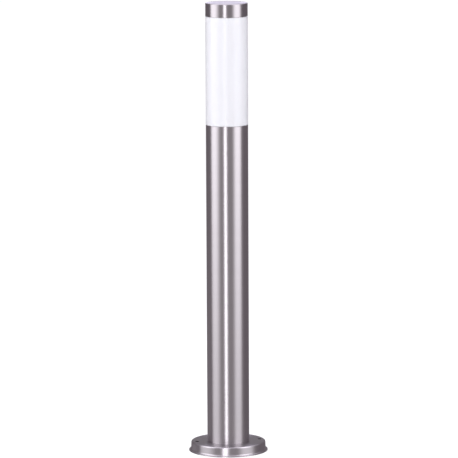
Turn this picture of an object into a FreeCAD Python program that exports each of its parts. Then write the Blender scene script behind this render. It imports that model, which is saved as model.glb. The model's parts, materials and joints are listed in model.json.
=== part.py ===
import FreeCAD
import Part
import math
import os

# Bollard light: a stainless post on a round pressed foot, with an opal lamp head that
# turns and lifts off on a bayonet. Millimetres, +Z up. The origin is on the post axis at
# ground level. The two anchor holes of the foot lie on the X axis.

os.makedirs("parts", exist_ok=True)

V = FreeCAD.Vector
UP = V(0, 0, 1)

# ---------------------------------------------------------------- driving dimensions
TOTAL_H = 815.0          # ground to the top of the cap
TUBE_R = 38.0            # 76 mm welded stainless tube
TUBE_T = 1.5
TUBE_TOP = 595.5         # rim of the post, where the opal head begins
HEAD_GAP = 0.3           # narrow joint line above the rim

FOOT_H = 17.2            # pressed foot, sheet 1.5 mm
FOOT_T = 1.5
FOOT_TOP_R = 67.3
FOOT_WALL_R = 67.8
FOOT_LIP_R = 71.5
ANCHOR_PCD = 115.0
ANCHOR_D = 6.5

RING_T = 3.0             # backing ring under the top of the foot
RING_R = 64.5
STRAP_T = 2.0            # terminal strap screwed below the backing ring
STRAP_W = 26.0
STRAP_L = 114.0
STRAP_SCREW_Y = 50.0
TAB_W = 34.0
TAB_TOP = 112.0
TAB_X = 13.0             # face of the tab that carries the terminals

SEAT_Z = 562.0           # ring welded inside the tube, 3 mm
SEAT_T = 3.0
FLOOR_T = 3.0            # floor of the bayonet housing
CARRIER_TOP = 587.0
CARRIER_IN = 33.0
CARRIER_OUT = 36.2
CARRIER_SCREW_R = 29.5
GROOVE_R = 35.1

SPIGOT_IN = 31.0
SPIGOT_OUT = 32.6
SPIGOT_Z = 572.5
LUG_R = 34.8
LUG_Z = 574.0
LUG_H = 3.0
LUG_DEG = 18.0
SLOT_DEG = 22.0
TURN_DEG = 30.0
SEAL_Z = 591.3
SEAL_R = 34.7
SEAL_SEC = 1.5

DIFF_T = 2.5             # opal acrylic tube
CAP_H = 23.8
CAP_T = 1.2
CAP_EDGE = 1.0

CABLE_R = 3.3            # sheathed two-core cable
CORE_R = 1.1
HOLDER_R = 20.0
CERAMIC_Z = 581.0
LAMP_TIP_Z = 589.3

CAP_Z = TOTAL_H - CAP_H
DIFF_Z = TUBE_TOP + HEAD_GAP
DIFF_TOP = CAP_Z - HEAD_GAP
DIFF_IN = TUBE_R - DIFF_T
TUBE_IN = TUBE_R - TUBE_T
FOOT_UNDER = FOOT_H - FOOT_T
RING_UNDER = FOOT_UNDER - RING_T
STRAP_UNDER = RING_UNDER - STRAP_T
FLOOR_Z = SEAT_Z + SEAT_T
FLOOR_TOP = FLOOR_Z + FLOOR_T


# ---------------------------------------------------------------- small building tools
def outline(points, lift):
    """Closed wire through corner points; a third number rounds that corner."""
    count = len(points)
    corners = []
    for i in range(count):
        here = lift(points[i][0], points[i][1])
        radius = points[i][2] if len(points[i]) > 2 else 0.0
        if radius <= 0.0:
            corners.append((here, here, None))
            continue
        before = lift(points[i - 1][0], points[i - 1][1]).sub(here)
        after = lift(points[(i + 1) % count][0], points[(i + 1) % count][1]).sub(here)
        before.normalize()
        after.normalize()
        half = before.getAngle(after) / 2.0
        reach = radius / math.tan(half)
        start = here.add(before * reach)
        end = here.add(after * reach)
        bisector = before.add(after)
        bisector.normalize()
        centre = here.add(bisector * (radius / math.sin(half)))
        toward = here.sub(centre)
        toward.normalize()
        corners.append((start, end, centre.add(toward * radius)))
    edges = []
    for i in range(count):
        start, end, middle = corners[i]
        if middle is not None:
            edges.append(Part.Arc(start, middle, end).toShape())
        following = corners[(i + 1) % count][0]
        if end.distanceToPoint(following) > 1e-6:
            edges.append(Part.makeLine(end, following))
    return Part.Wire(edges)


def spun(points, degrees=360.0, start=0.0):
    """Solid of revolution about Z from an (r, z) section."""
    face = Part.Face(outline(points, lambda r, z: V(r, 0, z)))
    solid = face.revolve(V(0, 0, 0), UP, degrees)
    solid.rotate(V(0, 0, 0), UP, start)
    return solid


def plate(points, z, thick):
    """Flat plate from an (x, y) outline."""
    face = Part.Face(outline(points, lambda x, y: V(x, y, z)))
    return face.extrude(V(0, 0, thick))


def rod(radius, start, direction, length):
    return Part.makeCylinder(radius, length, start, direction)


def ring(outer, inner, z, height):
    return spun([(inner, z), (outer, z), (outer, z + height), (inner, z + height)])


def box(x0, x1, y0, y1, z0, z1):
    return Part.makeBox(x1 - x0, y1 - y0, z1 - z0, V(x0, y0, z0))


def around(shape, count, start=0.0):
    """Copies of a shape evenly round the post axis."""
    copies = []
    for i in range(count):
        copy = shape.copy()
        copy.rotate(V(0, 0, 0), UP, start + 360.0 * i / count)
        copies.append(copy)
    return copies


def aim(shape, direction, place):
    """Turn a shape built along +Z to another direction and set it down."""
    turned = shape.copy()
    turned.Placement = FreeCAD.Placement(place, FreeCAD.Rotation(UP, direction))
    return turned


def pan_screw(shank_r, head_r, head_h, length):
    """Pan-head screw with a cross recess. Underside of the head at z = 0, shank down."""
    head = spun([(0, 0), (head_r, 0, 0.2), (head_r, head_h, head_h * 0.55), (0, head_h)])
    shank = spun([(0, -length), (shank_r, -length, shank_r * 0.3), (shank_r, 0.2), (0, 0.2)])
    body = head.fuse(shank).removeSplitter()
    depth = head_h * 0.62
    width = head_r * 0.26
    reach = head_r * 0.62
    slot_a = box(-reach, reach, -width / 2, width / 2, head_h - depth, head_h + 1)
    slot_b = box(-width / 2, width / 2, -reach, reach, head_h - depth, head_h + 1)
    return body.cut(slot_a).cut(slot_b)


def grub_screw(radius, length):
    """Headless slotted terminal screw, slot end at z = 0, tip down."""
    body = spun([(0, -length), (radius, -length, radius * 0.4), (radius, 0, 0.15), (0, 0)])
    return body.cut(box(-radius * 2, radius * 2, -0.25, 0.25, -0.8, 1))


def hex_nut(across, hole_r, height, z):
    corner = across / math.sqrt(3)
    corners = [(corner * math.cos(math.radians(60 * i)), corner * math.sin(math.radians(60 * i)))
               for i in range(6)]
    blank = plate(corners, z, height)
    chamfer = spun([(0, z), (across / 2, z), (corner, z + 0.5), (corner, z + height - 0.5),
                    (across / 2, z + height), (0, z + height)])
    return blank.common(chamfer).cut(rod(hole_r, V(0, 0, z - 1), UP, height + 2))


def wire_run(radius, points, bends):
    """Round wire along straight runs joined by tangent arcs. bends: radius per corner."""
    edges = []
    last = points[0]
    for i in range(1, len(points) - 1):
        here = points[i]
        before = points[i - 1].sub(here)
        after = points[i + 1].sub(here)
        before.normalize()
        after.normalize()
        half = before.getAngle(after) / 2.0
        reach = bends[i - 1] / math.tan(half)
        start = here.add(before * reach)
        end = here.add(after * reach)
        bisector = before.add(after)
        bisector.normalize()
        centre = here.add(bisector * (bends[i - 1] / math.sin(half)))
        toward = here.sub(centre)
        toward.normalize()
        if last.distanceToPoint(start) > 1e-6:
            edges.append(Part.makeLine(last, start))
        edges.append(Part.Arc(start, centre.add(toward * bends[i - 1]), end).toShape())
        last = end
    edges.append(Part.makeLine(last, points[-1]))
    path = Part.Wire(edges)
    along = points[1].sub(points[0])
    section = Part.Wire([Part.makeCircle(radius, points[0], along)])
    run = path.makePipeShell([section], True, True)
    print("wire length mm", round(path.Length, 1),
          "volume ratio", round(run.Volume / (math.pi * radius ** 2 * path.Length), 4))
    return run


def save(name, shape):
    solids = shape.Solids
    if not shape.isValid():
        print("NOT VALID", name)
    shape = solids[0] if len(solids) == 1 else Part.makeCompound(solids)
    shape.exportStep("parts/" + name + ".step")
    box_ = shape.BoundBox
    print(name, "solids", len(solids), "z", round(box_.ZMin, 2), round(box_.ZMax, 2),
          "r", round(max(abs(box_.XMin), abs(box_.XMax), abs(box_.YMin), abs(box_.YMax)), 2))


# ---------------------------------------------------------------- the foot
def anchor_points():
    return [V(ANCHOR_PCD / 2, 0, 0), V(-ANCHOR_PCD / 2, 0, 0)]


def base_flange():
    """Pressed dish: flat top, near-upright wall, edge flared out onto the ground."""
    wall_in_top = FOOT_TOP_R - FOOT_T
    wall_in = FOOT_WALL_R - FOOT_T
    dish = spun([(TUBE_R + 0.05, FOOT_UNDER), (TUBE_R + 0.05, FOOT_H), (FOOT_TOP_R, FOOT_H, 2.5),
                 (FOOT_WALL_R, FOOT_T, 2.8), (FOOT_LIP_R, FOOT_T, 0.35), (FOOT_LIP_R, 0, 0.35),
                 (wall_in, 0, 4.3), (wall_in_top, FOOT_UNDER, 1.0)])
    for point in anchor_points():
        dish = dish.cut(rod(ANCHOR_D / 2, point, UP, FOOT_H + 2))
    return dish


def backing_ring():
    """Zinc-plated steel ring that stiffens the foot and takes the strap screws."""
    disc = ring(RING_R, TUBE_R + 0.05, RING_UNDER, RING_T)
    for point in anchor_points():
        disc = disc.cut(rod(ANCHOR_D / 2, point, UP, FOOT_H + 2))
    for y in (-STRAP_SCREW_Y, STRAP_SCREW_Y):
        disc = disc.cut(rod(2.0, V(0, y, 0), UP, FOOT_H + 2))
    return disc


def spacer_sleeves():
    """Sleeves that carry the pull of the anchor screws down to the ground."""
    sleeves = []
    for point in anchor_points():
        body = rod(6.0, point, UP, RING_UNDER)
        sleeves.append(body.cut(rod(ANCHOR_D / 2, point, UP, RING_UNDER + 2)))
    return Part.makeCompound(sleeves)


def foot_weld():
    """Bead that joins the end of the tube to the bore of the backing ring."""
    end = RING_UNDER + 1.5
    return spun([(TUBE_IN + 0.1, end), (TUBE_R + 0.05, end), (TUBE_R + 0.05, RING_UNDER + 0.1),
                 (TUBE_R - 0.7, RING_UNDER + 0.4)])


def post_tube():
    end = RING_UNDER + 1.5
    return spun([(TUBE_IN, end), (TUBE_R, end), (TUBE_R, TUBE_TOP, 0.25), (TUBE_IN, TUBE_TOP, 0.25)])


# ---------------------------------------------------------------- terminals at the foot
def terminal_strap():
    """One bent strip: it crosses under the tube and its side tab stands up inside."""
    half = STRAP_W / 2
    strip = plate([(-half, -STRAP_L / 2, 3), (half, -STRAP_L / 2, 3), (half, STRAP_L / 2, 3),
                   (-half, STRAP_L / 2, 3)], STRAP_UNDER, STRAP_T)
    tab_section = [(0, STRAP_UNDER), (TAB_X + STRAP_T, STRAP_UNDER, STRAP_T + 1.5),
                   (TAB_X + STRAP_T, TAB_TOP, 0.3), (TAB_X, TAB_TOP, 0.3),
                   (TAB_X, RING_UNDER, 1.5), (0, RING_UNDER)]
    face = Part.Face(outline(tab_section, lambda x, z: V(x, -TAB_W / 2, z)))
    tab = face.extrude(V(0, TAB_W, 0))
    strap = strip.fuse(tab).removeSplitter()
    strap = strap.cut(box(STRAP_W / 2 - 1.5, 40, TAB_W / 2, 60, 0, RING_UNDER + 1))
    strap = strap.cut(box(STRAP_W / 2 - 1.5, 40, -60, -TAB_W / 2, 0, RING_UNDER + 1))
    strap = strap.cut(rod(7.5, V(0, 0, 0), UP, 20))
    for y in (-STRAP_SCREW_Y, STRAP_SCREW_Y):
        strap = strap.cut(rod(2.2, V(0, y, 0), UP, 20))
    for y, z, radius in TAB_HOLES:
        strap = strap.cut(rod(radius, V(TAB_X - 1, y, z), V(1, 0, 0), 5))
    return strap


BLOCK_Z0 = 50.0
BLOCK_Z1 = 74.0
BLOCK_FRONT = -1.0
POLE_X = 6.0
POLE_Y = (-10.0, 0.0, 10.0)          # neutral, live, earth
POLE_SCREW_Z = (55.0, 69.0)
BLOCK_SCREW_Y = (-5.0, 5.0)
BLOCK_SCREW_Z = 62.0
CLIP_Y = -5.0
CLIP_Z = 100.0
CLIP_SCREW_Y = (CLIP_Y - 8.0, CLIP_Y + 8.0)
EARTH_Y = 11.0
EARTH_Z = 98.0
TAB_HOLES = [(BLOCK_SCREW_Y[0], BLOCK_SCREW_Z, 1.5), (BLOCK_SCREW_Y[1], BLOCK_SCREW_Z, 1.5),
             (CLIP_SCREW_Y[0], CLIP_Z, 1.5), (CLIP_SCREW_Y[1], CLIP_Z, 1.5),
             (EARTH_Y, EARTH_Z, 2.0)]


def strap_screws():
    screw = pan_screw(1.98, 4.0, 2.6, 4.8)
    return Part.makeCompound([aim(screw, V(0, 0, -1), V(0, y, STRAP_UNDER))
                              for y in (-STRAP_SCREW_Y, STRAP_SCREW_Y)])


def cable_grommet():
    """Rubber bush where the supply cable comes up through the strap."""
    low = STRAP_UNDER
    high = RING_UNDER
    return spun([(4.75, low - 2.0, 0.4), (9.5, low - 2.0, 0.8), (10.0, low - 0.03, 0.3),
                 (7.45, low - 0.03), (7.45, high + 0.03), (9.6, high + 0.03, 0.3),
                 (8.6, high + 2.2, 0.8), (4.75, high + 2.2, 0.4)])


def terminal_block():
    """Three-pole screw terminal block, wires enter from below and leave at the top."""
    block = box(BLOCK_FRONT, TAB_X, -16, 16, BLOCK_Z0, BLOCK_Z1)
    block = block.makeFillet(0.8, [e for e in block.Edges if abs(e.Vertexes[0].X - e.Vertexes[1].X) > 5])
    for y in (-5.0, 5.0):
        block = block.cut(box(BLOCK_FRONT - 1, 1.5, y - 0.8, y + 0.8, BLOCK_Z0 - 1, BLOCK_Z1 + 1))
    for y in POLE_Y:
        block = block.cut(rod(2.55, V(POLE_X, y, BLOCK_Z0 - 1), UP, BLOCK_Z1 - BLOCK_Z0 + 2))
        for z in POLE_SCREW_Z:
            block = block.cut(rod(1.9, V(BLOCK_FRONT - 1, y, z), V(1, 0, 0), POLE_X - BLOCK_FRONT + 1))
    for y in BLOCK_SCREW_Y:
        block = block.cut(rod(1.6, V(BLOCK_FRONT - 1, y, BLOCK_SCREW_Z), V(1, 0, 0), 20))
        block = block.cut(rod(3.0, V(BLOCK_FRONT - 1, y, BLOCK_SCREW_Z), V(1, 0, 0), 4))
    return block


def terminal_inserts():
    """Brass barrels that clamp the wire ends."""
    barrels = []
    for y in POLE_Y:
        barrel = rod(2.5, V(POLE_X, y, BLOCK_Z0 + 1), UP, BLOCK_Z1 - BLOCK_Z0 - 2)
        barrel = barrel.cut(rod(1.6, V(POLE_X, y, BLOCK_Z0), UP, BLOCK_Z1 - BLOCK_Z0))
        for z in POLE_SCREW_Z:
            barrel = barrel.cut(rod(1.25, V(0, y, z), V(1, 0, 0), POLE_X))
        barrels.append(barrel)
    return Part.makeCompound(barrels)


def terminal_screws():
    screw = grub_screw(1.22, 4.2)
    return Part.makeCompound([aim(screw, V(-1, 0, 0), V(0.6, y, z))
                              for y in POLE_Y for z in POLE_SCREW_Z])


def block_screws():
    screw = pan_screw(1.48, 2.75, 2.0, 12.6)
    return Part.makeCompound([aim(screw, V(-1, 0, 0), V(2.0, y, BLOCK_SCREW_Z)) for y in BLOCK_SCREW_Y])


def cable_clip():
    """Nylon saddle that holds the inner cable on the tab."""
    cx = TAB_X - CABLE_R
    bore = CABLE_R + 0.05
    outer = bore + 1.5
    foot = box(TAB_X - 1.5, TAB_X, CLIP_SCREW_Y[0] - 3.5, CLIP_SCREW_Y[1] + 3.2, CLIP_Z - 4, CLIP_Z + 4)
    arch = rod(outer, V(cx, CLIP_Y, CLIP_Z - 4), UP, 8)
    side = box(cx, TAB_X, CLIP_Y - outer, CLIP_Y + outer, CLIP_Z - 4, CLIP_Z + 4)
    saddle = foot.fuse(arch).fuse(side).removeSplitter()
    saddle = saddle.cut(box(TAB_X, TAB_X + 9, -40, 40, CLIP_Z - 9, CLIP_Z + 9))
    saddle = saddle.cut(rod(bore, V(cx, CLIP_Y, CLIP_Z - 5), UP, 10))
    saddle = saddle.cut(box(cx, TAB_X + 1, CLIP_Y - bore, CLIP_Y + bore, CLIP_Z - 5, CLIP_Z + 5))
    for y in CLIP_SCREW_Y:
        saddle = saddle.cut(rod(1.6, V(TAB_X - 3, y, CLIP_Z), V(1, 0, 0), 5))
    return saddle


def clip_screws():
    screw = pan_screw(1.48, 2.7, 1.9, 4.0)
    return Part.makeCompound([aim(screw, V(-1, 0, 0), V(TAB_X - 1.5, y, CLIP_Z)) for y in CLIP_SCREW_Y])


def earth_lug():
    """Crimped ring terminal on the earth wire."""
    tongue = rod(4.0, V(TAB_X - 0.8, EARTH_Y, EARTH_Z), V(1, 0, 0), 0.8)
    neck = box(TAB_X - 0.8, TAB_X, EARTH_Y - 1.9, EARTH_Y + 1.9, EARTH_Z - 8.5, EARTH_Z)
    barrel = rod(1.95, V(TAB_X - 1.95, EARTH_Y, EARTH_Z - 13), UP, 5.5)
    lug = tongue.fuse(neck).fuse(barrel).removeSplitter()
    lug = lug.cut(rod(2.1, V(TAB_X - 2, EARTH_Y, EARTH_Z), V(1, 0, 0), 4))
    return lug.cut(rod(1.28, V(TAB_X - 1.95, EARTH_Y, EARTH_Z - 14), UP, 8))


def earth_washer():
    body = rod(4.2, V(TAB_X - 1.6, EARTH_Y, EARTH_Z), V(1, 0, 0), 0.8)
    return body.cut(rod(2.1, V(TAB_X - 3, EARTH_Y, EARTH_Z), V(1, 0, 0), 4))


def earth_screw():
    return aim(pan_screw(1.98, 3.8, 2.4, 5.0), V(-1, 0, 0), V(TAB_X - 1.6, EARTH_Y, EARTH_Z))


def earth_lead():
    """Green-yellow wire from the earth pole to the lug on the tab."""
    low = V(POLE_X, POLE_Y[2], 63)
    turn_a = V(POLE_X, POLE_Y[2], 75.5)
    turn_b = V(TAB_X - 1.95, EARTH_Y, 83.5)
    top = V(TAB_X - 1.95, EARTH_Y, EARTH_Z - 8.6)
    return wire_run(1.2, [low, turn_a, turn_b, top], [6, 6])


# ---------------------------------------------------------------- the inner cable
def cable_points():
    """From below the clip, over to the post axis, and up into the lampholder."""
    x = TAB_X - CABLE_R
    return [V(x, CLIP_Y, 88), V(x, CLIP_Y, 122), V(0, 0, 160), V(0, 0, 572.5)]


def inner_cable():
    return wire_run(CABLE_R, cable_points(), [120, 120])


def core_ends(side, pole_y):
    """Bare ends of one core: below the clip, and inside the lampholder."""
    x = TAB_X - CABLE_R
    low = wire_run(CORE_R, [V(POLE_X, pole_y, 64), V(POLE_X, pole_y, 75.5),
                            V(x, CLIP_Y + side * 1.4, 84), V(x, CLIP_Y + side * 1.4, 87.98)], [7, 7])
    high = wire_run(CORE_R, [V(side * 1.4, 0, 572.52), V(side * 1.4, 0, 577), V(side * 10.5, 0, 577)],
                    [4.0])
    return Part.makeCompound([low, high])


# ---------------------------------------------------------------- bayonet housing in the post
def seat_ring():
    """Steel ring welded inside the tube; it carries the lamp housing."""
    disc = ring(TUBE_IN - 0.1, 25.0, SEAT_Z, SEAT_T)
    for hole in around(rod(2.0, V(CARRIER_SCREW_R, 0, SEAT_Z - 1), UP, 5), 3, 30):
        disc = disc.cut(hole)
    return disc


def seat_tacks():
    tack = spun([(TUBE_IN - 2.2, SEAT_Z), (TUBE_IN, SEAT_Z), (TUBE_IN, SEAT_Z - 2.2)], 14.0, -7.0)
    return Part.makeCompound(around(tack, 3, 90))


def sector(inner, outer, z0, z1, start, degrees):
    return spun([(inner, z0), (outer, z0), (outer, z1), (inner, z1)], degrees, start)


def carrier_ring():
    """Moulded housing with three entry slots and three locking grooves in its wall."""
    cup = spun([(5.1, FLOOR_Z), (CARRIER_OUT, FLOOR_Z, 0.5), (CARRIER_OUT, CARRIER_TOP, 0.3),
                (CARRIER_IN, CARRIER_TOP, 0.5), (CARRIER_IN, FLOOR_TOP, 0.05), (5.1, FLOOR_TOP)])
    slot = sector(CARRIER_IN - 1, GROOVE_R, LUG_Z - 0.3, CARRIER_TOP + 1, -SLOT_DEG / 2, SLOT_DEG)
    groove = sector(CARRIER_IN - 1, GROOVE_R, LUG_Z - 0.3, LUG_Z + LUG_H + 0.3,
                    -SLOT_DEG / 2 - TURN_DEG, SLOT_DEG + TURN_DEG)
    for cutter in around(slot, 3) + around(groove, 3):
        cup = cup.cut(cutter)
    for hole in around(rod(2.1, V(CARRIER_SCREW_R, 0, FLOOR_Z - 1), UP, 5), 3, 30):
        cup = cup.cut(hole)
    return cup


def carrier_screws():
    screw = pan_screw(1.98, 3.4, 2.4, 8.0)
    screw.translate(V(CARRIER_SCREW_R, 0, FLOOR_TOP))
    return Part.makeCompound(around(screw, 3, 30))


# ---------------------------------------------------------------- lampholder, E27 size
def holder_nipple():
    return spun([(4.0, FLOOR_Z - 5.5, 0.2), (5.0, FLOOR_Z - 5.5, 0.4), (5.0, FLOOR_TOP + 4.0, 0.4),
                 (4.0, FLOOR_TOP + 4.0, 0.2)])


def nipple_nut():
    return hex_nut(14.0, 5.02, 3.5, FLOOR_Z - 3.5)


def lampholder_dome():
    """Lower half of the holder, screwed onto the nipple; the cores bend out inside it."""
    return spun([(5.05, FLOOR_TOP), (17.0, FLOOR_TOP, 2.0), (HOLDER_R, 573.0, 3.0),
                 (HOLDER_R, 589.0, 0.3), (17.5, 589.0), (17.5, CERAMIC_Z), (14.2, CERAMIC_Z),
                 (14.2, FLOOR_TOP + 4.0, 0.8), (5.05, FLOOR_TOP + 4.0)])


def lampholder_skirt():
    """Upper half of the holder, screwed into the dome, ribbed for grip."""
    skirt = spun([(15.5, 584.6), (17.4, 584.6), (17.4, 589.05), (HOLDER_R, 589.05, 0.3),
                  (HOLDER_R, 615.0, 1.5), (15.0, 615.0, 0.8), (15.0, 612.5), (15.5, 612.5)])
    for groove in around(rod(0.7, V(HOLDER_R + 0.25, 0, 591.5), UP, 20), 24):
        skirt = skirt.cut(groove)
    return skirt


def holder_base():
    """Ceramic disc clamped between dome and skirt."""
    top = CERAMIC_Z + 10.0
    disc = spun([(0, CERAMIC_Z), (17.3, CERAMIC_Z, 0.3), (17.3, CERAMIC_Z + 3.5, 0.3),
                 (15.3, CERAMIC_Z + 3.5), (15.3, top, 0.3), (8.5, top, 0.3), (8.5, CERAMIC_Z + 6.0),
                 (0, CERAMIC_Z + 6.0)])
    disc = disc.cut(rod(1.25, V(7.0, 0, CERAMIC_Z - 1), UP, 12))
    disc = disc.cut(rod(1.25, V(-11.5, 0, CERAMIC_Z - 1), UP, 12))
    for hole in around(rod(1.25, V(11.5, 0, CERAMIC_Z - 1), UP, 12), 2, 60):
        disc = disc.cut(hole)
    return disc


def holder_shell():
    """Rolled threaded sleeve of the holder, riveted to the ceramic disc."""
    z = CERAMIC_Z + 10.0
    wall = [(9.0, z), (14.2, z, 0.3)]
    turn = z + 2.6
    for i in range(5):
        wall.append((14.2, turn))
        wall.append((14.75, turn + 0.9, 0.8))
        wall.append((14.2, turn + 1.8))
        turn += 3.6
    wall += [(14.2, z + 21.0), (13.4, z + 21.0), (13.4, z + 0.8), (9.0, z + 0.8)]
    sleeve = spun(wall)
    for angle in (60, 180, 240):
        spot = V(11.5 * math.cos(math.radians(angle)), 11.5 * math.sin(math.radians(angle)), z - 1)
        sleeve = sleeve.cut(rod(1.25, spot, UP, 3))
    return sleeve


def shell_rivets():
    z = CERAMIC_Z + 10.0
    shank = rod(1.2, V(11.5, 0, CERAMIC_Z - 0.7), UP, 11.5)
    low = rod(1.8, V(11.5, 0, CERAMIC_Z - 0.7), UP, 0.7)
    high = rod(1.8, V(11.5, 0, z + 0.8), UP, 0.6)
    rivet = shank.fuse(low).fuse(high).removeSplitter()
    return Part.makeCompound(around(rivet, 2, 60))


def holder_terminals():
    """Brass wire blocks with the posts that feed the centre contact and the sleeve."""
    made = []
    for sign, post_x, post_top, block_x in ((1, 7.0, CERAMIC_Z + 6.5, 6.2), (-1, -11.5, CERAMIC_Z + 11.4, 6.2)):
        a, b = sorted((sign * block_x, sign * (block_x + 6.8)))
        block = box(a, b, -3, 3, 574.2, 579.8)
        block = block.cut(rod(1.3, V(a - 1, 0, 577), V(1, 0, 0), 9))
        block = block.cut(rod(1.05, V(sign * 9.6, -4, 577), V(0, 1, 0), 3.5))
        post = rod(1.2, V(post_x, 0, 579.0), UP, post_top - 579.0)
        made.append(block.fuse(post).removeSplitter())
    return Part.makeCompound(made)


def holder_terminal_screws():
    screw = pan_screw(1.03, 1.9, 1.3, 1.85)
    return Part.makeCompound([aim(screw, V(0, -1, 0), V(x, -3, 577)) for x in (-9.6, 9.6)])


def holder_contact():
    """Springy centre contact: a flat foot on its post and a tongue bent up to the lamp."""
    z = CERAMIC_Z + 6.0
    strip = [(8.3, z), (8.3, z + 0.5), (3.6, z + 0.5, 0.8), (1.6, z + 1.95, 0.8), (-3.2, z + 1.95, 1.2),
             (-4.0, z + 0.9), (-3.5, z + 0.75), (-2.9, z + 1.45, 0.7), (1.3, z + 1.45, 1.2),
             (3.2, z, 1.2)]
    face = Part.Face(outline(strip, lambda x, h: V(x, -2.5, h)))
    blade = face.extrude(V(0, 5, 0))
    blade = blade.common(rod(8.4, V(0, 0, z - 1), UP, 5))
    return blade.cut(rod(1.22, V(7.0, 0, z - 1), UP, 5))


# ---------------------------------------------------------------- the lamp
def bulb_contact():
    return spun([(0, LAMP_TIP_Z), (3.6, LAMP_TIP_Z, 1.2), (4.8, LAMP_TIP_Z + 1.7), (0, LAMP_TIP_Z + 1.7)])


def bulb_insulator():
    z = LAMP_TIP_Z + 1.7
    return spun([(0, z), (5.4, z, 0.3), (8.2, z + 1.0, 1.0), (12.4, z + 3.6), (12.4, z + 4.4), (0, z + 4.4)])


def bulb_shell():
    """Screw cap of the lamp: rolled sleeve with rounded crests."""
    z = LAMP_TIP_Z + 1.7 + 3.6
    wall = [(12.45, z), (12.75, z - 0.1)]
    turn = z + 0.6
    for i in range(5):
        wall.append((12.2, turn, 0.3))
        wall.append((13.2, turn + 0.9, 0.7))
        wall.append((13.2, turn + 1.8, 0.7))
        wall.append((12.2, turn + 2.7, 0.3))
        turn += 3.6
    wall += [(12.6, turn + 0.4), (13.7, turn + 2.2, 0.4), (13.7, 616.4), (11.4, 616.4), (11.4, z + 0.85),
             (12.45, z + 0.85)]
    return spun(wall)


def bulb_housing():
    """White moulded body of the lamp, hollow."""
    return spun([(13.75, 616.5), (14.6, 616.5, 0.6), (15.2, 622, 6), (25.4, 648, 12), (25.4, 652.0, 0.5),
                 (23.6, 652.0), (23.6, 648.5, 10), (13.75, 622.5, 5)])


def bulb_board():
    """Aluminium disc that carries the light-emitting diodes."""
    disc = spun([(1.5, 650.2), (23.3, 650.2), (23.3, 651.8), (1.5, 651.8)])
    for chip in around(box(13.2, 16.8, -1.8, 1.8, 651.8, 652.6), 8) + around(box(6.2, 9.8, -1.8, 1.8, 651.8, 652.6), 4):
        disc = disc.fuse(chip)
    return disc.removeSplitter()


def bulb_glass():
    """Opal dome, radius 30, 1 mm wall."""
    centre = LAMP_TIP_Z + 110.0 - 30.0
    outer = Part.makeSphere(30.0, V(0, 0, centre))
    inner = Part.makeSphere(29.0, V(0, 0, centre))
    dome = outer.cut(inner)
    return dome.common(Part.makeCylinder(40, 80, V(0, 0, 652.05), UP))


# ---------------------------------------------------------------- the lamp head
def head_seal():
    return Part.makeTorus(SEAL_R, SEAL_SEC, V(0, 0, SEAL_Z), UP)


def bayonet_ring():
    """Moulded ring glued into the opal tube: seal groove, spigot and three lugs."""
    step = CARRIER_TOP + 0.4
    low = SEAL_Z - 1.8
    high = SEAL_Z + 1.8
    body = spun([(SPIGOT_IN, SPIGOT_Z, 0.4), (SPIGOT_OUT, SPIGOT_Z, 0.4), (SPIGOT_OUT, step),
                 (36.1, step, 0.3), (36.1, low), (32.9, low, 0.4), (32.9, high, 0.4), (36.1, high),
                 (36.1, DIFF_Z - 0.05), (DIFF_IN - 0.05, DIFF_Z - 0.05),
                 (DIFF_IN - 0.05, DIFF_Z + 10.0, 0.8), (SPIGOT_IN, DIFF_Z + 10.0, 0.8)])
    lug = sector(SPIGOT_OUT - 0.6, LUG_R, LUG_Z, LUG_Z + LUG_H, -LUG_DEG / 2, LUG_DEG)
    for copy in around(lug, 3):
        body = body.fuse(copy)
    return body.removeSplitter()


def diffuser():
    """Opal acrylic tube, flush with the post and the cap."""
    return spun([(DIFF_IN, DIFF_Z, 0.15), (TUBE_R, DIFF_Z, 0.25), (TUBE_R, DIFF_TOP, 0.25),
                 (DIFF_IN, DIFF_TOP, 0.15)])


def top_plug():
    """Moulded plug: glued into the opal tube below, centring the cap above."""
    floor = 800.0
    cap_in = TUBE_R - CAP_T
    rim = TOTAL_H - CAP_T - 2.0
    return spun([(2.7, floor), (31.5, floor, 1.0), (31.5, DIFF_TOP - 10.0, 0.4),
                 (DIFF_IN - 0.05, DIFF_TOP - 10.0, 0.8), (DIFF_IN - 0.05, DIFF_TOP + 0.05),
                 (cap_in - 0.1, DIFF_TOP + 0.05), (cap_in - 0.1, rim, 0.6), (33.7, rim, 0.3),
                 (33.7, floor + 3.0, 1.0), (2.7, floor + 3.0)])


def cap():
    """Drawn stainless cup, brushed on the lathe."""
    return spun([(0, TOTAL_H - CAP_T), (TUBE_R - CAP_T, TOTAL_H - CAP_T, 0.3), (TUBE_R - CAP_T, CAP_Z, 0.1),
                 (TUBE_R, CAP_Z, 0.2), (TUBE_R, TOTAL_H, CAP_EDGE), (0, TOTAL_H)])


def cap_stud():
    """M5 stud welded to the underside of the cap."""
    top = TOTAL_H - CAP_T
    return spun([(0, 793.0), (2.5, 793.0, 0.5), (2.5, top - 1.0), (4.2, top - 1.0, 0.2), (4.2, top), (0, top)])


def cap_washer():
    return ring(6.0, 2.65, 799.0, 1.0)


def cap_nut():
    return hex_nut(8.0, 2.52, 4.0, 795.0)


def cap_seal():
    rim = TOTAL_H - CAP_T - 2.0
    return ring(TUBE_R - CAP_T - 0.6, 30.0, rim, 2.0)


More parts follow.
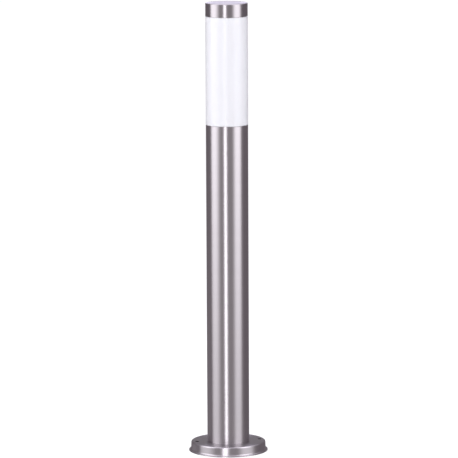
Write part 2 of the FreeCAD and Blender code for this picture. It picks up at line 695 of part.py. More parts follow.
# ---------------------------------------------------------------- write every piece
save("base_flange", base_flange())
save("backing_ring", backing_ring())
save("spacer_sleeves", spacer_sleeves())
save("foot_weld", foot_weld())
save("post_tube", post_tube())
save("terminal_strap", terminal_strap())
save("strap_screws", strap_screws())
save("cable_grommet", cable_grommet())
save("terminal_block", terminal_block())
save("terminal_inserts", terminal_inserts())
save("terminal_screws", terminal_screws())
save("block_screws", block_screws())
save("cable_clip", cable_clip())
save("clip_screws", clip_screws())
save("earth_lug", earth_lug())
save("earth_washer", earth_washer())
save("earth_screw", earth_screw())
save("earth_lead", earth_lead())
save("inner_cable", inner_cable())
save("neutral_core", core_ends(-1, POLE_Y[0]))
save("live_core", core_ends(1, POLE_Y[1]))
save("seat_ring", seat_ring())
save("seat_tacks", seat_tacks())
save("carrier_ring", carrier_ring())
save("carrier_screws", carrier_screws())
save("holder_nipple", holder_nipple())
save("nipple_nut", nipple_nut())
save("lampholder_dome", lampholder_dome())
save("lampholder_skirt", lampholder_skirt())
save("holder_base", holder_base())
save("holder_shell", holder_shell())
save("shell_rivets", shell_rivets())
save("holder_terminals", holder_terminals())
save("holder_terminal_screws", holder_terminal_screws())
save("holder_contact", holder_contact())
save("bulb_contact", bulb_contact())
save("bulb_insulator", bulb_insulator())
save("bulb_shell", bulb_shell())
save("bulb_housing", bulb_housing())
save("bulb_board", bulb_board())
save("bulb_glass", bulb_glass())
save("head_seal", head_seal())
save("bayonet_ring", bayonet_ring())
save("diffuser", diffuser())
save("top_plug", top_plug())
save("cap", cap())
save("cap_stud", cap_stud())
save("cap_washer", cap_washer())
save("cap_nut", cap_nut())
save("cap_seal", cap_seal())
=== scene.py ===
# %% [markdown]
# # Bollard light
# A garden bollard: a stainless post on a pressed foot, an opal lamp head of the same
# width, and a flat stainless cap. The measured frame comes from the CAD model. This
# script gives that frame its finishes, turns the four visible shells again with a finer
# outline, and sets up a small studio round them.

# %% Load the frame
import json
import math
import bmesh
import bpy
from mathutils import Matrix, Vector


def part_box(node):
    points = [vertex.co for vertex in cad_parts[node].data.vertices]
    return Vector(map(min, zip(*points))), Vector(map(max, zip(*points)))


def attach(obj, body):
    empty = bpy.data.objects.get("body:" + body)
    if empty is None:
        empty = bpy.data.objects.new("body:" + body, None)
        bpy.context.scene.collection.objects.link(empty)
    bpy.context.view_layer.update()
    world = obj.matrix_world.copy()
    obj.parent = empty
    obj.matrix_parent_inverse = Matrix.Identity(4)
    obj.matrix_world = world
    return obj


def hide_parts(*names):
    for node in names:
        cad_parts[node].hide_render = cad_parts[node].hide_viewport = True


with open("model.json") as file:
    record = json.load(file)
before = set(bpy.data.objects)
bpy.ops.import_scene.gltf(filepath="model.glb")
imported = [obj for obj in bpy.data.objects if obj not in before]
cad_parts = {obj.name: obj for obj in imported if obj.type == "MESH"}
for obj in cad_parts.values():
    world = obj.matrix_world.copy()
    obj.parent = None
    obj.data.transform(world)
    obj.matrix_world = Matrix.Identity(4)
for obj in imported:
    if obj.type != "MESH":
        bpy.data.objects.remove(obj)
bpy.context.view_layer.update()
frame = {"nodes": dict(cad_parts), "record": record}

MM = 0.001
nodes = frame["nodes"]
slot_of = {part["node"]: part["material_slot"] for part in frame["record"]["subparts"]}
print("CAD nodes", len(nodes), "slots", len(set(slot_of.values())))

# %% [markdown]
# ## Colours and nodes
# A paint or metal colour is read off as an sRGB hex value, but Blender mixes light in
# linear values, so one function turns the one into the other. One more function adds a
# shader node: it takes the node's kind, its settings, and what is plugged into it. Every
# finish below is written with these two. Two nodes come up again and again. Mix blends the
# colours on its inputs 6 and 7 by input 0, and Map Range takes a value on input 0 from the
# range of inputs 1 and 2 to the range of inputs 3 and 4.


# %% Colour and node helpers
COLOURS = {"data_type": "RGBA"}         # makes a Mix node blend colours
SMOOTH = {"interpolation_type": "SMOOTHSTEP"}


def linear(hex_colour):
    """sRGB hex, such as "b8b4b6", to a linear RGBA tuple."""
    values = [int(hex_colour[i:i + 2], 16) / 255 for i in (0, 2, 4)]
    lin = [v / 12.92 if v <= 0.04045 else ((v + 0.055) / 1.055) ** 2.4 for v in values]
    return (*lin, 1.0)


def add(tree, kind, settings=None, **inputs):
    """Adds a node. Inputs are socket names (spaces as _) or _0, _1 ... by position."""
    node = tree.nodes.new(kind)
    for key, value in (settings or {}).items():
        setattr(node, key, value)
    for key, value in inputs.items():
        name = key.replace("_", " ").strip()
        socket = node.inputs[int(name)] if name.isdigit() else node.inputs[name]
        if isinstance(value, bpy.types.NodeSocket):
            tree.links.new(value, socket)
        else:
            socket.default_value = value
    return node


def new_material(name):
    """A material whose tree holds a Principled shader and its output."""
    material = bpy.data.materials.new(name)
    material.use_nodes = True
    tree = material.node_tree
    tree.nodes.clear()
    shader = add(tree, "ShaderNodeBsdfPrincipled")
    add(tree, "ShaderNodeOutputMaterial", Surface=shader.outputs["BSDF"])
    return material, tree, shader


print("middle grey as linear light", round(linear("808080")[0], 3))

# %% [markdown]
# ## Brushed stainless steel
# The post, the foot and the cap are austenitic stainless steel, ground with a belt while
# they turn, so the scratches run round them. Such a surface is sharp along the scratch
# and blurred across it: a lamp beside the post shows as an upright band with crisp sides.
# The shader's anisotropy does that, with a tangent that runs round Z.
# The scratches themselves could be a picture wrapped on, but a noise is simpler and has
# no seam. It is squeezed along radius plus height: on the wall the radius stays the same
# so it draws rings one above another, and on a flat top it draws circles, as turning does.
# The flat tops of the foot and the cap get a colour a little darker than the walls': painted shade.


# %% Brushed stainless
GRIT_MM = 0.35          # real belt marks are about 0.1 mm; drawn coarser so that they show
SCRATCH_MM = 45.0       # how far one scratch runs round the post
BAND_MM = 14.0          # wide and weak bands, where the belt pressed more or less
BAND_RUN_MM = 260.0
FINE_SHARE = 0.55       # of the tone, and the bands give the rest
SCRATCH_DEPTH = 0.03    # millimetres
SHADED_TOP_LIGHT = "bab5b9"    # the two tones of a flat top, painted darker as shade
SHADED_TOP_DARK = "aca7ab"
TOP_STARTS = 0.07       # millimetres below a top where its colour starts, and is full
TOP_IS_FULL = 0.02


def scratch_vector(tree, across_mm, along_mm):
    """Coordinates squeezed across the scratches: x and y run along, radius + z across."""
    place = add(tree, "ShaderNodeTexCoord").outputs["Object"]
    axes = add(tree, "ShaderNodeSeparateXYZ", Vector=place)
    flat = add(tree, "ShaderNodeCombineXYZ", X=axes.outputs["X"], Y=axes.outputs["Y"])
    radius = add(tree, "ShaderNodeVectorMath", {"operation": "LENGTH"}, _0=flat.outputs[0])
    across = add(tree, "ShaderNodeMath", {"operation": "ADD"},
                 _0=radius.outputs["Value"], _1=axes.outputs["Z"])
    joined = add(tree, "ShaderNodeCombineXYZ", X=axes.outputs["X"], Y=axes.outputs["Y"],
                 Z=across.outputs[0])
    scale = (1 / (along_mm * MM), 1 / (along_mm * MM), 1 / (across_mm * MM))
    return add(tree, "ShaderNodeMapping", Vector=joined.outputs[0], Scale=scale).outputs[0]


def brushed_stainless(name, light, dark, roughness, anisotropy, top_mm=None):
    """Belt marks round Z. A flat top at the height top_mm is painted a little darker: painted shade."""
    material, tree, shader = new_material(name)
    fine = add(tree, "ShaderNodeTexNoise", Vector=scratch_vector(tree, GRIT_MM, SCRATCH_MM),
               Scale=1.0, Detail=3.0, Roughness=0.6)
    bands = add(tree, "ShaderNodeTexNoise", Vector=scratch_vector(tree, BAND_MM, BAND_RUN_MM),
                Scale=1.0, Detail=2.0, Roughness=0.5)
    uneven = add(tree, "ShaderNodeMath", {"operation": "MULTIPLY"}, _0=bands.outputs["Fac"],
                 _1=1 - FINE_SHARE)
    tone = add(tree, "ShaderNodeMath", {"operation": "MULTIPLY_ADD"}, _0=fine.outputs["Fac"],
               _1=FINE_SHARE, _2=uneven.outputs[0])
    colour = add(tree, "ShaderNodeMix", COLOURS, _0=tone.outputs[0], _6=linear(light),
                 _7=linear(dark))
    # Painted shade: a flat top gets a darker colour than the wall below it.
    if top_mm is not None:
        place = add(tree, "ShaderNodeTexCoord").outputs["Object"]
        axes = add(tree, "ShaderNodeSeparateXYZ", Vector=place)
        on_top = add(tree, "ShaderNodeMapRange", _0=axes.outputs["Z"],
                     _1=(top_mm - TOP_STARTS) * MM, _2=(top_mm - TOP_IS_FULL) * MM)
        shaded_top = add(tree, "ShaderNodeMix", COLOURS, _0=tone.outputs[0],
                      _6=linear(SHADED_TOP_LIGHT), _7=linear(SHADED_TOP_DARK))
        colour = add(tree, "ShaderNodeMix", COLOURS, _0=on_top.outputs[0],
                     _6=colour.outputs[2], _7=shaded_top.outputs[2])
    tree.links.new(colour.outputs[2], shader.inputs["Base Color"])
    rough = add(tree, "ShaderNodeMapRange", _0=fine.outputs["Fac"], _3=roughness - 0.03,
                _4=roughness + 0.03)
    tree.links.new(rough.outputs[0], shader.inputs["Roughness"])
    bump = add(tree, "ShaderNodeBump", Height=fine.outputs["Fac"], Strength=0.03,
               Distance=SCRATCH_DEPTH * MM)
    tree.links.new(bump.outputs[0], shader.inputs["Normal"])
    tangent = add(tree, "ShaderNodeTangent", {"direction_type": "RADIAL", "axis": "Z"})
    tree.links.new(tangent.outputs[0], shader.inputs["Tangent"])
    shader.inputs["Metallic"].default_value = 1.0
    shader.inputs["Anisotropic"].default_value = anisotropy
    shader.inputs["Anisotropic Rotation"].default_value = 0.25
    return material


foot_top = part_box("base_flange")[1].z / MM
cap_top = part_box("cap")[1].z / MM
finishes = {
    "post_stainless": brushed_stainless("brushed stainless steel, belt ground round the tube",
                                        "d9d4d7", "cdc8cb", 0.35, 0.92),
    "foot_stainless": brushed_stainless("brushed stainless steel, pressed and turned",
                                        "dcd7db", "cec9cd", 0.31, 0.82, foot_top),
    # Painted shade: the cap's steel gets darker colours than the post's, which dims the lamp bands on
    # it.
    "cap_stainless": brushed_stainless("brushed stainless steel, turned cap",
                                       "cfcacd", "c3bec1", 0.34, 0.92, cap_top),
}
print("brushed finishes", len(finishes), "with tops at", round(foot_top, 2), round(cap_top, 2))

# %% [markdown]
# The anchor holes are punched. The foot's steel is painted dark in each hole and in a thin ring round
# it: painted shade, as a hole is a dark recess. There is one hole on each side of the post, on the X
# axis, so the sign of x is taken off before the distance to a hole is measured.

# %% Painted shade in the anchor holes
HOLE_CIRCLE = 57.5      # from the post's axis to the middle of an anchor hole
HOLE_R = 3.25
RING_STARTS = 0.10      # how far from the wall the dark ring starts to fade, and where it ends
RING_ENDS = 0.45
HOLE_SHADE = "1c1a1b"


def darken_holes(material):
    """Paints shade into the anchor holes: blends the steel's colour into a dark one in and round them.
    """
    tree = material.node_tree
    base = tree.nodes["Principled BSDF"].inputs["Base Color"]
    steel = base.links[0].from_socket
    place = add(tree, "ShaderNodeTexCoord").outputs["Object"]
    axes = add(tree, "ShaderNodeSeparateXYZ", Vector=place)
    side = add(tree, "ShaderNodeMath", {"operation": "ABSOLUTE"}, _0=axes.outputs["X"])
    along = add(tree, "ShaderNodeMath", {"operation": "SUBTRACT"}, _0=side.outputs[0],
                _1=HOLE_CIRCLE * MM)
    flat = add(tree, "ShaderNodeCombineXYZ", X=along.outputs[0], Y=axes.outputs["Y"])
    reach = add(tree, "ShaderNodeVectorMath", {"operation": "LENGTH"}, _0=flat.outputs[0])
    unshaded = add(tree, "ShaderNodeMapRange", _0=reach.outputs["Value"],
                _1=(HOLE_R + RING_STARTS) * MM, _2=(HOLE_R + RING_ENDS) * MM)
    # Painted shade: the steel turns dark in and round each hole.
    colour = add(tree, "ShaderNodeMix", COLOURS, _0=unshaded.outputs[0], _6=linear(HOLE_SHADE),
                 _7=steel)
    tree.links.new(colour.outputs[2], base)


darken_holes(finishes["foot_stainless"])
print("holes darkened out to", HOLE_R + RING_ENDS, "mm")

# %% [markdown]
# ## Other metals
# Bright zinc plating has a faint cloudy tone from the bath and the passivation; nickel and
# brass are smoother; a weld bead is rippled and slightly tarnished. All of them are one
# recipe: a cloud of the real size for the tone, the same cloud for the roughness, and a
# finer grain for the bump. Only the sizes and colours differ, so one function makes them.


# %% Cloudy metals
def cloudy_metal(name, light, dark, roughness, cloud_mm, grain_mm, grain_depth):
    """A plated, cast or machined metal. Cloud, grain and grain depth are in millimetres."""
    material, tree, shader = new_material(name)
    place = add(tree, "ShaderNodeTexCoord").outputs["Object"]
    cloud = add(tree, "ShaderNodeTexNoise", Vector=place, Scale=1 / (cloud_mm * MM), Detail=3.0)
    grain = add(tree, "ShaderNodeTexNoise", Vector=place, Scale=1 / (grain_mm * MM), Detail=2.0)
    colour = add(tree, "ShaderNodeMix", COLOURS, _0=cloud.outputs["Fac"], _6=linear(light),
                 _7=linear(dark))
    tree.links.new(colour.outputs[2], shader.inputs["Base Color"])
    rough = add(tree, "ShaderNodeMapRange", _0=cloud.outputs["Fac"], _3=roughness - 0.06,
                _4=roughness + 0.08)
    tree.links.new(rough.outputs[0], shader.inputs["Roughness"])
    bump = add(tree, "ShaderNodeBump", Height=grain.outputs["Fac"], Strength=0.3,
               Distance=grain_depth * MM)
    tree.links.new(bump.outputs[0], shader.inputs["Normal"])
    shader.inputs["Metallic"].default_value = 1.0
    return material


finishes["weld_bead"] = cloudy_metal("stainless weld bead, brushed clean", "a49c98", "6f665f",
                                     0.42, 3.0, 0.8, 0.25)
finishes["zinc_plate"] = cloudy_metal("bright zinc plated sheet steel", "ccd0d4", "aab0b6",
                                      0.32, 9.0, 0.5, 0.02)
finishes["zinc_screw"] = cloudy_metal("bright zinc plated screws", "d2d4d6", "b4b8bc",
                                      0.26, 2.5, 0.3, 0.01)
finishes["brass"] = cloudy_metal("machined brass", "e0c179", "c39c52", 0.24, 3.0, 0.3, 0.01)
finishes["nickel_brass"] = cloudy_metal("nickel plated brass, rolled", "dbd7cc", "bfb9ab",
                                        0.20, 4.0, 0.4, 0.01)
finishes["tinned_copper"] = cloudy_metal("tinned copper, crimped", "d6d6d4", "b5b5b2",
                                         0.30, 1.5, 0.3, 0.02)
finishes["solder"] = cloudy_metal("solder, set from a drop", "c9c8c6", "a4a3a0", 0.30, 1.2, 0.4, 0.04)
finishes["lamp_cap"] = cloudy_metal("nickel plated lamp cap, rolled", "dddad2", "c2beb4",
                                    0.18, 4.0, 0.5, 0.01)
print("finishes", len(finishes))

# %% [markdown]
# ## Plastics, rubber, ceramic and wire
# Mouldings take the texture of their mould: a fine spark-eroded grain on the nylon parts,
# a closer one on rubber, almost none on glazed ceramic. A tone that drifts over a few
# centimetres keeps a big face from looking painted on. The recipe is the metals' one with
# no metal in it, so again one function serves, with an IOR for each material.


# %% Moulded and glazed finishes
def moulded(name, light, dark, roughness, drift_mm, grain_mm, grain_depth, ior=1.5):
    """A surface without metal. The tone drifts slowly, and the mould leaves a fine grain."""
    material, tree, shader = new_material(name)
    place = add(tree, "ShaderNodeTexCoord").outputs["Object"]
    drift = add(tree, "ShaderNodeTexNoise", Vector=place, Scale=1 / (drift_mm * MM), Detail=2.0)
    grain = add(tree, "ShaderNodeTexNoise", Vector=place, Scale=1 / (grain_mm * MM), Detail=2.0,
                Roughness=0.6)
    colour = add(tree, "ShaderNodeMix", COLOURS, _0=drift.outputs["Fac"], _6=linear(light),
                 _7=linear(dark))
    tree.links.new(colour.outputs[2], shader.inputs["Base Color"])
    rough = add(tree, "ShaderNodeMapRange", _0=grain.outputs["Fac"], _3=roughness - 0.06,
                _4=roughness + 0.06)
    tree.links.new(rough.outputs[0], shader.inputs["Roughness"])
    bump = add(tree, "ShaderNodeBump", Height=grain.outputs["Fac"], Strength=0.35,
               Distance=grain_depth * MM)
    tree.links.new(bump.outputs[0], shader.inputs["Normal"])
    shader.inputs["IOR"].default_value = ior
    return material


finishes["mild_steel"] = moulded("grey primer on mild steel", "74767a", "63656a", 0.50, 18, 0.5, 0.03)
finishes["black_rubber"] = moulded("EPDM rubber, moulded", "1c1c1d", "121213", 0.68, 12, 0.4, 0.04, 1.52)
finishes["black_nylon"] = moulded("glass-filled nylon, moulded", "202023", "161618", 0.46, 15, 0.5,
                                  0.04, 1.53)
finishes["white_nylon"] = moulded("white nylon, moulded", "ecebe7", "dfded9", 0.42, 20, 0.6, 0.03, 1.53)
finishes["block_plastic"] = moulded("natural nylon terminal block", "e6e2d4", "d8d3c3", 0.44, 8,
                                    0.5, 0.03, 1.53)
finishes["nylon_natural"] = moulded("natural nylon, moulded", "e8e5da", "d9d5c8", 0.42, 8, 0.5,
                                    0.03, 1.53)
finishes["holder_plastic"] = moulded("black thermoset, compression moulded", "202022", "151517",
                                     0.36, 14, 0.6, 0.02, 1.6)
finishes["ceramic"] = moulded("glazed steatite", "efe9dc", "e2dac9", 0.16, 6, 1.2, 0.03, 1.6)
finishes["lamp_glass_black"] = moulded("black vitrite, fused", "17171b", "0d0d10", 0.12, 5, 0.8,
                                       0.02, 1.55)
finishes["lamp_plastic"] = moulded("white polycarbonate, moulded", "f2f1ee", "e9e7e2", 0.30, 25, 0.5,
                                   0.015, 1.58)
finishes["lamp_board"] = moulded("white solder resist on aluminium", "eeeeec", "e2e2df", 0.38, 6,
                                 0.5, 0.01, 1.5)
finishes["cable_sheath"] = moulded("white PVC sheath, extruded", "e4e3e0", "d6d5d1", 0.45, 30, 0.6,
                                   0.02, 1.53)
finishes["blue_wire"] = moulded("blue PVC insulation", "2a5fb4", "1f4f9f", 0.40, 10, 0.4, 0.01, 1.53)
finishes["brown_wire"] = moulded("brown PVC insulation", "6b4227", "58351e", 0.40, 10, 0.4, 0.01, 1.53)
print("finishes", len(finishes))

# %% [markdown]
# ## Earth wire
# The earth wire's insulation is green with a yellow stripe down its length. The wire steps
# sideways by a millimetre on its way up, so the stripe's edge leans with it: the height
# sets where the middle of the wire is, and the side of the middle picks the colour.

# %% Green and yellow insulation
STEP_FROM = 75.5        # heights between which the wire steps sideways, in millimetres
STEP_TO = 83.5
MIDDLE_BELOW = 10.0     # where its middle is along Y, below and above the step
MIDDLE_ABOVE = 11.0
EDGE_BLUR = 0.1
material, tree, shader = new_material("green and yellow PVC insulation")
place = add(tree, "ShaderNodeTexCoord").outputs["Object"]
axes = add(tree, "ShaderNodeSeparateXYZ", Vector=place)
middle = add(tree, "ShaderNodeMapRange", _0=axes.outputs["Z"], _1=STEP_FROM * MM,
             _2=STEP_TO * MM, _3=MIDDLE_BELOW * MM, _4=MIDDLE_ABOVE * MM)
side = add(tree, "ShaderNodeMath", {"operation": "SUBTRACT"}, _0=axes.outputs["Y"],
           _1=middle.outputs[0])
stripe = add(tree, "ShaderNodeMapRange", _0=side.outputs[0], _1=-EDGE_BLUR * MM,
             _2=EDGE_BLUR * MM)
colour = add(tree, "ShaderNodeMix", COLOURS, _0=stripe.outputs[0], _6=linear("e3c91f"),
             _7=linear("3f8f3a"))
tree.links.new(colour.outputs[2], shader.inputs["Base Color"])
shader.inputs["Roughness"].default_value = 0.42
finishes["earth_wire"] = material
print("finishes", len(finishes))

# %% [markdown]
# ## Opal acrylic
# The lamp head is extruded opal acrylic: clear plastic filled with fine white particles.
# Light goes a few millimetres in before it comes out again, which softens the shading
# round the tube, and the satin skin on top still shows the lamps as soft bands.
# Subsurface scattering gives the first and a moderate roughness the second. A pure
# diffuse white would look like chalk. The lamp's frosted dome is the same idea with a
# duller skin.


# %% Opal finishes
def opal(name, light, dark, roughness, depth_mm, drift_mm, wave_mm, ior):
    """White plastic that light enters by depth_mm. The skin is a little wavy."""
    material, tree, shader = new_material(name)
    place = add(tree, "ShaderNodeTexCoord").outputs["Object"]
    drift = add(tree, "ShaderNodeTexNoise", Vector=place, Scale=1 / (drift_mm * MM), Detail=2.0)
    wave = add(tree, "ShaderNodeTexNoise", Vector=place, Scale=1 / (wave_mm * MM), Detail=1.0)
    colour = add(tree, "ShaderNodeMix", COLOURS, _0=drift.outputs["Fac"], _6=linear(light),
                 _7=linear(dark))
    tree.links.new(colour.outputs[2], shader.inputs["Base Color"])
    rough = add(tree, "ShaderNodeMapRange", _0=drift.outputs["Fac"], _3=roughness - 0.03,
                _4=roughness + 0.04)
    tree.links.new(rough.outputs[0], shader.inputs["Roughness"])
    bump = add(tree, "ShaderNodeBump", Height=wave.outputs["Fac"], Strength=0.04,
               Distance=0.02 * MM)
    tree.links.new(bump.outputs[0], shader.inputs["Normal"])
    shader.inputs["IOR"].default_value = ior
    shader.inputs["Subsurface Weight"].default_value = 0.6
    shader.inputs["Subsurface Radius"].default_value = (1.0, 0.95, 0.95)
    shader.inputs["Subsurface Scale"].default_value = depth_mm * MM
    return material


finishes["opal_acrylic"] = opal("opal acrylic, extruded with a satin skin", "f6f5fa", "f1f0f6",
                                0.22, 6.0, 60.0, 18.0, 1.49)
finishes["lamp_dome"] = opal("opal polycarbonate, frosted", "f5f4f0", "efede8",
                             0.38, 4.0, 30.0, 6.0, 1.58)
print("finishes", len(finishes), "missing", sorted(set(slot_of.values()) - set(finishes)))

# %% [markdown]
# ## Finishes on the CAD pieces
# Each CAD node names a material slot in the record, so its finish is looked up there.

# %% Dress the CAD nodes
for name, node in nodes.items():
    node.data.materials.clear()
    node.data.materials.append(finishes[slot_of[name]])
print("nodes dressed", len(nodes))

# %% [markdown]
# ## Turning the visible shells
# The four shells seen from outside are bodies of revolution. Their CAD meshes are fine for
# physics but have visible flats at this size, so each is turned again: its section is
# drawn as an outline in the XZ plane, the named corners are rounded with a vertex bevel,
# and the outline is spun round Z. A lathe would make them the same way.


# %% Section and spin tools
ROUND_STEPS = 192       # facets round a shell
CORNER_STEPS = 6        # facets in a rounded corner
SAME_PLACE = 1e-7       # metres; points closer than this are one point
SHARP_ANGLE = math.radians(32)  # an edge at least this sharp is not smoothed over


def new_object(name, data):
    """An object in the scene, holding a mesh, a lamp or a camera."""
    thing = bpy.data.objects.new(name, data)
    bpy.context.scene.collection.objects.link(thing)
    return thing


def mesh_object(name, shape):
    """Turns a bmesh into an object in the scene."""
    mesh = bpy.data.meshes.new(name)
    shape.to_mesh(mesh)
    shape.free()
    return new_object(name, mesh)


def section(points):
    """An outline from (radius, height) or (radius, height, corner radius) in millimetres.

    It is closed, apart from where it would run along the axis.
    """
    outline = bmesh.new()
    corners = [outline.verts.new((point[0] * MM, 0, point[1] * MM)) for point in points]
    outline.faces.new(corners)
    for corner, point in zip(corners, points):
        if len(point) == 3:
            bmesh.ops.bevel(outline, geom=[corner], offset=point[2] * MM, offset_type="OFFSET",
                            affect="VERTICES", segments=CORNER_STEPS, profile=0.5, material=-1)
    bmesh.ops.delete(outline, geom=outline.faces[:], context="FACES_ONLY")
    on_axis = [edge for edge in outline.edges
               if all(abs(end.co.x) < SAME_PLACE for end in edge.verts)]
    bmesh.ops.delete(outline, geom=on_axis, context="EDGES")
    return outline


def turn(outline):
    """Spins an outline a full turn about Z and closes the seam and the poles."""
    bmesh.ops.spin(outline, geom=outline.verts[:] + outline.edges[:], cent=(0, 0, 0),
                   axis=(0, 0, 1), angle=math.tau, steps=ROUND_STEPS, use_merge=True)
    bmesh.ops.remove_doubles(outline, verts=outline.verts[:], dist=SAME_PLACE)
    bmesh.ops.recalc_face_normals(outline, faces=outline.faces[:])
    return outline


def finish_piece(name, shape, body, *replaced):
    """Makes the object, smooths it, hangs it on its body's empty and hides the CAD nodes that it
    replaces.
    """
    for edge in shape.edges:
        edge.smooth = edge.calc_face_angle(0.0) < SHARP_ANGLE
    for face in shape.faces:
        face.smooth = True
    piece = mesh_object(name, shape)
    slot_name = slot_of[replaced[0]]
    piece.data.materials.append(finishes[slot_name])
    even = piece.modifiers.new("flat faces stay flat", "WEIGHTED_NORMAL")
    even.keep_sharp = True
    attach(piece, body)
    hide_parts(*replaced)
    print(name, "faces", len(piece.data.polygons))
    return piece


# %% [markdown]
# ### Post
# A 76 mm tube with a 1.5 mm wall. Its rim is only deburred, so the corners are rounded by
# a quarter of a millimetre: enough to catch a thin line of light.

# %% Post tube
TUBE_OUT = 38.0
TUBE_IN = 36.5
DEBURRED = 0.25
tube_low, tube_high = (corner.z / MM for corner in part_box("post_tube"))
tube = turn(section([(TUBE_IN, tube_low), (TUBE_OUT, tube_low), (TUBE_OUT, tube_high, DEBURRED),
                     (TUBE_IN, tube_high, DEBURRED)]))
finish_piece("post_tube_turned", tube, "post", "post_tube")

# %% [markdown]
# ### Foot
# A dish pressed from 1.5 mm sheet. The top corner is a tight bend, the wall leans out a
# little, and the edge is flared onto the ground. The two anchor holes are punched, so they
# are cut straight through with a boolean instead of being modelled in the section.

# %% Pressed foot
SHEET = 1.5
BORE_R = TUBE_OUT + 0.05        # the post passes through the dish with a little play
TOP_R = 67.3
TOP_BEND = 2.5
WALL_R = 67.8           # the wall's radius where it meets the flared edge
FLARE_BEND = 2.8
FLARE_R = 71.5
FLARE_EDGE = 0.35
foot_under = foot_top - SHEET
foot = turn(section([(BORE_R, foot_under), (BORE_R, foot_top), (TOP_R, foot_top, TOP_BEND),
                     (WALL_R, SHEET, FLARE_BEND), (FLARE_R, SHEET, FLARE_EDGE),
                     (FLARE_R, 0.0, FLARE_EDGE), (WALL_R - SHEET, 0.0, FLARE_BEND + SHEET),
                     (TOP_R - SHEET, foot_under, TOP_BEND - SHEET)]))
foot_piece = finish_piece("base_flange_turned", foot, "post", "base_flange")


PUNCH_STEPS = 48
PUNCH_LENGTH = 40.0
PUNCH_MIDDLE = 10.0     # height of the punch's middle, so that it passes right through


def punch(piece, radius_mm, places_mm):
    """Round holes straight down through a piece, kept as part of its mesh."""
    cutter_shape = bmesh.new()
    for x, y in places_mm:
        where = Matrix.Translation((x * MM, y * MM, PUNCH_MIDDLE * MM))
        bmesh.ops.create_cone(cutter_shape, cap_ends=True, segments=PUNCH_STEPS,
                              radius1=radius_mm * MM, radius2=radius_mm * MM,
                              depth=PUNCH_LENGTH * MM, matrix=where)
    cutter = mesh_object("punch", cutter_shape)
    even = piece.modifiers[0]
    even.show_viewport = False          # only the cut goes into the kept mesh
    cut = piece.modifiers.new("punched holes", "BOOLEAN")
    cut.object = cutter
    cut.solver = "EXACT"
    graph = bpy.context.evaluated_depsgraph_get()
    punched = bpy.data.meshes.new_from_object(piece.evaluated_get(graph))
    piece.modifiers.remove(cut)
    even.show_viewport = True
    piece.data = punched
    bpy.data.objects.remove(cutter)
    print("punched", len(places_mm), "holes, faces now", len(punched.polygons))


punch(foot_piece, HOLE_R, [(HOLE_CIRCLE, 0), (-HOLE_CIRCLE, 0)])

# %% [markdown]
# ### Opal head
# A tube with a 2.5 mm wall, flush with the post. Its sawn ends are polished, with a fine
# broken edge.

# %% Opal tube
HEAD_WALL = 2.5
BROKEN_INSIDE = 0.15
BROKEN_OUTSIDE = 0.25
head_in = TUBE_OUT - HEAD_WALL
head_low, head_high = (corner.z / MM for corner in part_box("diffuser"))
head = turn(section([(head_in, head_low, BROKEN_INSIDE), (TUBE_OUT, head_low, BROKEN_OUTSIDE),
                     (TUBE_OUT, head_high, BROKEN_OUTSIDE), (head_in, head_high, BROKEN_INSIDE)]))
finish_piece("diffuser_turned", head, "head", "diffuser")

# %% [markdown]
# ### Cap
# A shallow cup drawn from 1.2 mm sheet. Drawing the sheet over its tool rounds the upper
# edge, which shows as a bright line round the front of the top.

# %% Stainless cap
CAP_WALL = 1.2
CAP_BEND = 1.4
CAP_BEND_INSIDE = 0.3
CAP_LIP = 0.2
CAP_LIP_INSIDE = 0.1
cap_in = TUBE_OUT - CAP_WALL
cap_under = cap_top - CAP_WALL
cap_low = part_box("cap")[0].z / MM
cap = turn(section([(0, cap_under), (cap_in, cap_under, CAP_BEND_INSIDE),
                    (cap_in, cap_low, CAP_LIP_INSIDE), (TUBE_OUT, cap_low, CAP_LIP),
                    (TUBE_OUT, cap_top, CAP_BEND), (0, cap_top)]))
finish_piece("cap_turned", cap, "head", "cap")

# %% [markdown]
# ## Studio
# The studio stands round the direction that the camera looks from. Two tall soft boxes
# left and right and a narrow strip beside the camera give the three bright bands that run
# the height of the post. The room between and behind them is grey and dark, which gives
# brushed steel its contrast. A panel behind the head lights the flat top of the cap, and
# weak low cards lift the foot. The floor is plain and pale. It is kept out of the mirror
# reflections, because a white floor would fill the lower half of the post.
# The camera is a long lens seven metres away, a little above the head and looking down.

# %% Camera
CAMERA_DISTANCE = 7.0
CAMERA_HEIGHT = 1.4753
CAMERA_TURN = math.radians(-10.3)       # the anchor holes are turned this much to the view
PITCH = 0.151649        # radians downwards
YAW = 0.000404
ROLL = -0.0044
LENS_MM = 308.63
SENSOR_MM = 36.0
SIGHT_M = 60.0          # the camera sees this far
UP = Vector((0, 0, 1))

to_camera = Vector((math.sin(CAMERA_TURN), -math.cos(CAMERA_TURN), 0))
to_right = Vector((math.cos(CAMERA_TURN), math.sin(CAMERA_TURN), 0))


def stand(thing, place, x_axis, y_axis, z_axis):
    """Puts a thing at a place, with its own axes along three directions."""
    turned = Matrix((x_axis, y_axis, z_axis)).transposed().to_4x4()
    thing.matrix_world = Matrix.Translation(place) @ turned


camera_data = bpy.data.cameras.new("camera")
camera_data.lens = LENS_MM
camera_data.sensor_width = SENSOR_MM
camera_data.clip_end = SIGHT_M
camera = new_object("camera", camera_data)
looking = (-to_camera * math.cos(YAW) + to_right * math.sin(YAW)) * math.cos(PITCH)
looking.z = -math.sin(PITCH)
level = to_right * math.cos(YAW) + to_camera * math.sin(YAW)
above = level.cross(looking)
side_axis = level * math.cos(ROLL) + above * math.sin(ROLL)
up_axis = above * math.cos(ROLL) - level * math.sin(ROLL)
stand(camera, to_camera * CAMERA_DISTANCE + UP * CAMERA_HEIGHT, side_axis, up_axis, -looking)
bpy.context.scene.camera = camera
print("camera at", [round(v, 3) for v in camera.matrix_world.translation])

# %% [markdown]
# A soft box stands between two directions, given in degrees to the right of the camera. Its
# sides dim softly, which gives a band on the steel a soft edge. The two big ones are dim at
# the foot, so their bands fade on the way down the post. They are also about half as bright
# at the crown, which is what the flat tops mirror when they are seen from above.


